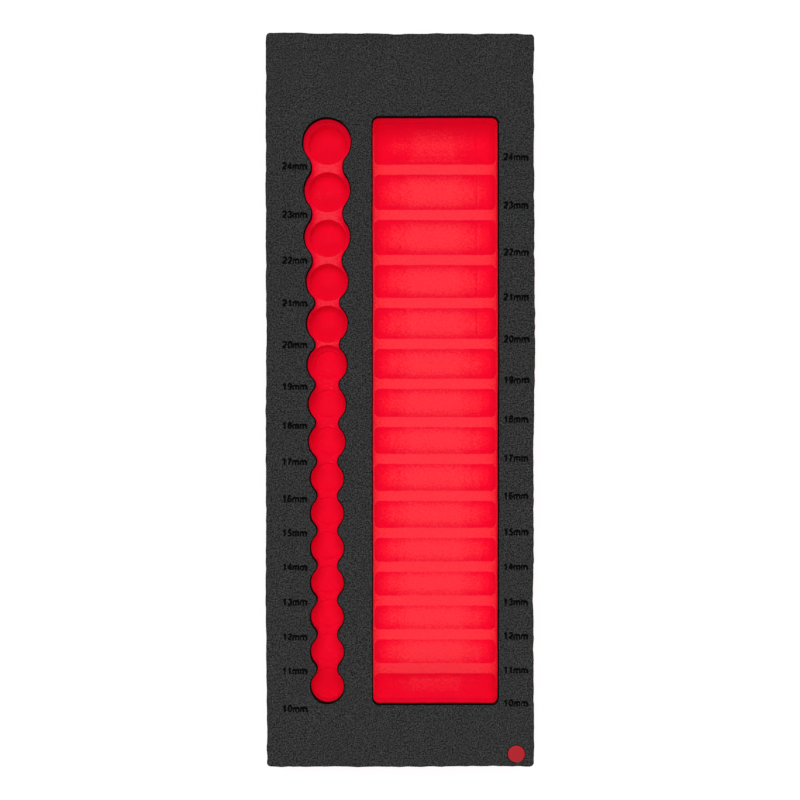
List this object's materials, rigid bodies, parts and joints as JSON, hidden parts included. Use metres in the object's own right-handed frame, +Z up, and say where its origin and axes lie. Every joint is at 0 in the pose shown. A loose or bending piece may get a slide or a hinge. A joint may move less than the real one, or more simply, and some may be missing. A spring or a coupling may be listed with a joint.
{
  "type": "socket organizer drawer insert",
  "caption": "Two-tone foam drawer insert with a row of joined round pockets that stand sockets on end, and a channel of ridged troughs that lays deep sockets down.",
  "frame": {"origin": "middle of the underside, where the insert rests on the drawer's floor", "axes": "+Z up out of the drawer, +Y along the insert towards the largest socket sizes, +X to the right, towards the troughs"},
  "size_m": [0.1906, 0.5206, 0.0381],
  "materials": {
    "red_foam": "matte",
    "adhesive_film": "matte",
    "charcoal_foam": "matte",
    "label": "satin"
  },
  "bodies": {
    "root": {"base_block": "red_foam", "bond_film": "adhesive_film", "top_sheet": "charcoal_foam", "blank_label": "label"}
  },
  "joints": []
}
